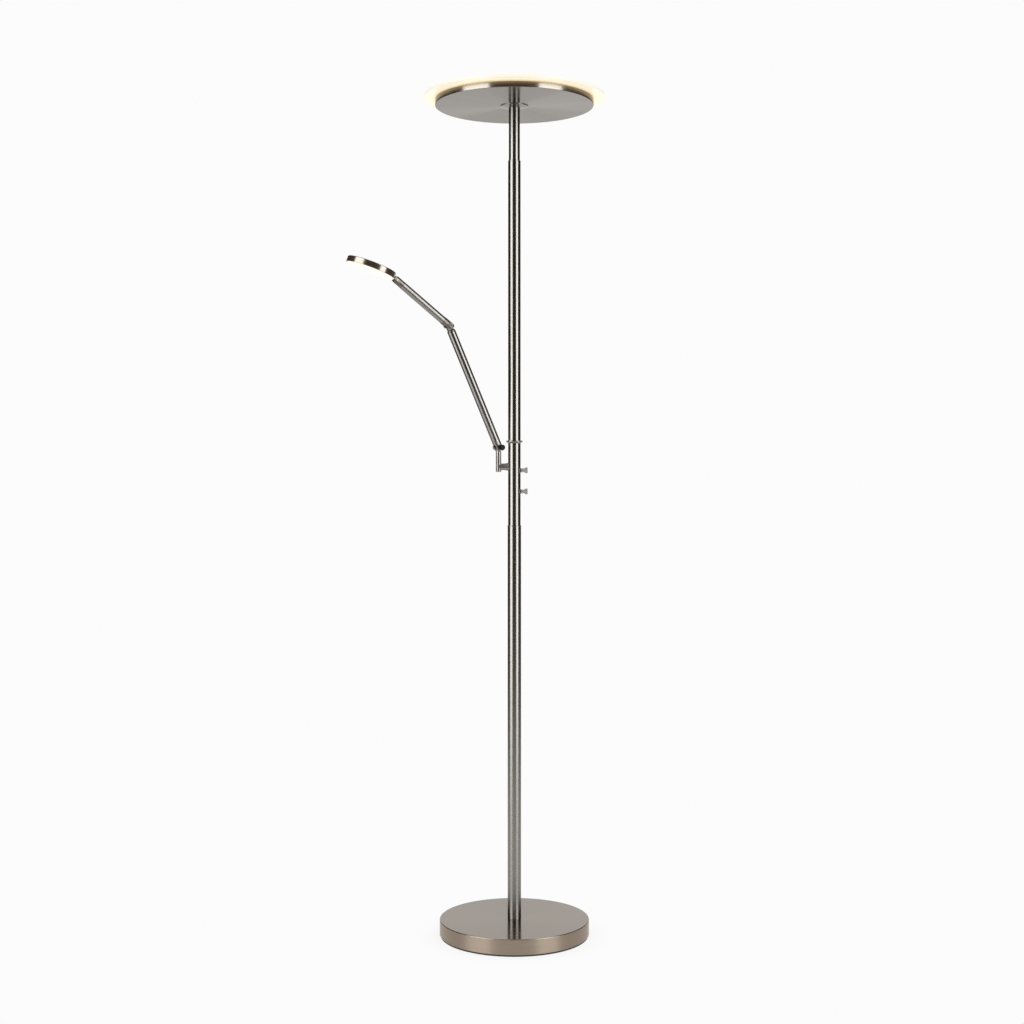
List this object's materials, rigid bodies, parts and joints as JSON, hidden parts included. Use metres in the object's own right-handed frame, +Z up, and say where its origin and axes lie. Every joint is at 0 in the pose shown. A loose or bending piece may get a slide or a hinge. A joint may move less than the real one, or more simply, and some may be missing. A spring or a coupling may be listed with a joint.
{
  "type": "torchiere floor lamp with reading light",
  "caption": "Free-standing floor lamp: round weighted base, slim pole, flat round uplight with a wider frosted plate, and a jointed side arm with a small flat reading head.",
  "frame": {"origin": "centre of the base pad's underside, on the floor, on the pole's axis", "axes": "+Z up along the pole; -X towards the reading arm's bracket; +X towards the dimmer knobs; +Y towards the cable inlet at the back"},
  "size_m": [0.5382, 0.412, 1.8],
  "materials": {
    "brushed_nickel": "brushed",
    "satin_nickel": "satin",
    "black_plastic": "matte",
    "zinc_plate": "plated",
    "black_steel": "black oxide",
    "cast_weight": "painted black, rough",
    "rubber": "matte",
    "white_plastic": "matte",
    "nylon": "matte",
    "plain_aluminium": "mill finish",
    "light_board": "white solder mask",
    "light_source": "gloss",
    "opal_acrylic": "frosted, lit from behind"
  },
  "bodies": {
    "stand": {"base_pad": "rubber", "base_weight": "cast_weight", "base_cover": "brushed_nickel", "base_stud": "zinc_plate", "base_washer": "zinc_plate", "base_nut": "zinc_plate", "power_supply": "white_plastic", "inlet_bush": "rubber", "pole_wire": "rubber", "pole_foot": "zinc_plate", "lower_tube": "brushed_nickel", "lower_coupler": "satin_nickel", "dimmer_tube": "brushed_nickel", "pole_collar": "satin_nickel", "collar_sleeve": "zinc_plate", "upper_tube": "brushed_nickel", "upper_coupler": "satin_nickel", "top_tube": "brushed_nickel", "pan_hub": "satin_nickel", "hub_screws": "zinc_plate", "torch_pan": "brushed_nickel", "heat_spreader": "plain_aluminium", "led_board": "light_board", "led_chips": "light_source", "plate_posts": "plain_aluminium", "plate_pucks": "plain_aluminium", "glow_plate": "opal_acrylic", "dimmer_bodies": "black_plastic", "dimmer_saddles": "satin_nickel", "bracket_stub": "satin_nickel", "stub_washer": "zinc_plate", "stub_nut": "zinc_plate", "bracket_post": "satin_nickel", "swivel_screw": "zinc_plate"},
    "reading_dimmer": {"reading_dimmer_shaft": "zinc_plate", "reading_dimmer_knob": "satin_nickel"},
    "main_dimmer": {"main_dimmer_shaft": "zinc_plate", "main_dimmer_knob": "satin_nickel"},
    "swivel": {"arm_stem": "satin_nickel"},
    "lower_arm": {"lower_clevis": "satin_nickel", "lower_arm_tube": "brushed_nickel", "hinge_pin": "satin_nickel", "hinge_cap": "satin_nickel", "elbow_tongue": "satin_nickel"},
    "hinge_knob": {"friction_knob": "black_plastic"},
    "upper_arm": {"elbow_clevis": "satin_nickel", "elbow_screw": "black_steel", "elbow_nut": "satin_nickel", "upper_arm_tube": "brushed_nickel", "fork_bush": "nylon"},
    "fork": {"head_fork": "satin_nickel", "fork_clip": "zinc_plate", "head_pin": "satin_nickel"},
    "reading_head": {"head_housing": "brushed_nickel", "head_standoffs": "plain_aluminium", "head_board": "light_board", "head_chips": "light_source", "head_diffuser": "opal_acrylic"}
  },
  "joints": [
    {"name": "arm_swivel", "type": "hinge", "parent": "stand", "child": "swivel", "pos_m": [-0.034, 0, 1.015], "axis": [0, 0, 1], "range_deg": [-150, 85]},
    {"name": "lower_arm_tilt", "type": "hinge", "parent": "swivel", "child": "lower_arm", "pos_m": [-0.034, 0, 1.046], "axis": [-0.5446, 0.8387, 0], "range_deg": [-69, 17]},
    {"name": "hinge_knob_turn", "type": "hinge", "parent": "lower_arm", "child": "hinge_knob", "pos_m": [-0.02686, -0.01099, 1.046], "axis": [0.5446, -0.8387, 0], "range_deg": [-90, 180]},
    {"name": "elbow_bend", "type": "hinge", "parent": "lower_arm", "child": "upper_arm", "pos_m": [-0.13766, -0.06732, 1.30169], "axis": [-0.5446, 0.8387, 0], "range_deg": [-65, 27]},
    {"name": "head_twist", "type": "hinge", "parent": "upper_arm", "child": "fork", "pos_m": [-0.24338, -0.13597, 1.38929], "axis": [-0.6887, -0.4472, 0.5707], "range_deg": [-80, 100]},
    {"name": "head_tilt", "type": "hinge", "parent": "fork", "child": "reading_head", "pos_m": [-0.24338, -0.13597, 1.38929], "axis": [-0.4631, 0.877, 0.1285], "range_deg": [-75, 15]},
    {"name": "reading_dimmer_turn", "type": "hinge", "parent": "stand", "child": "reading_dimmer", "pos_m": [0.015, 0, 0.997], "axis": [1, 0, 0], "range_deg": [-140, 140]},
    {"name": "main_dimmer_turn", "type": "hinge", "parent": "stand", "child": "main_dimmer", "pos_m": [0.015, 0, 0.9515], "axis": [1, 0, 0], "range_deg": [-140, 140]}
  ]
}
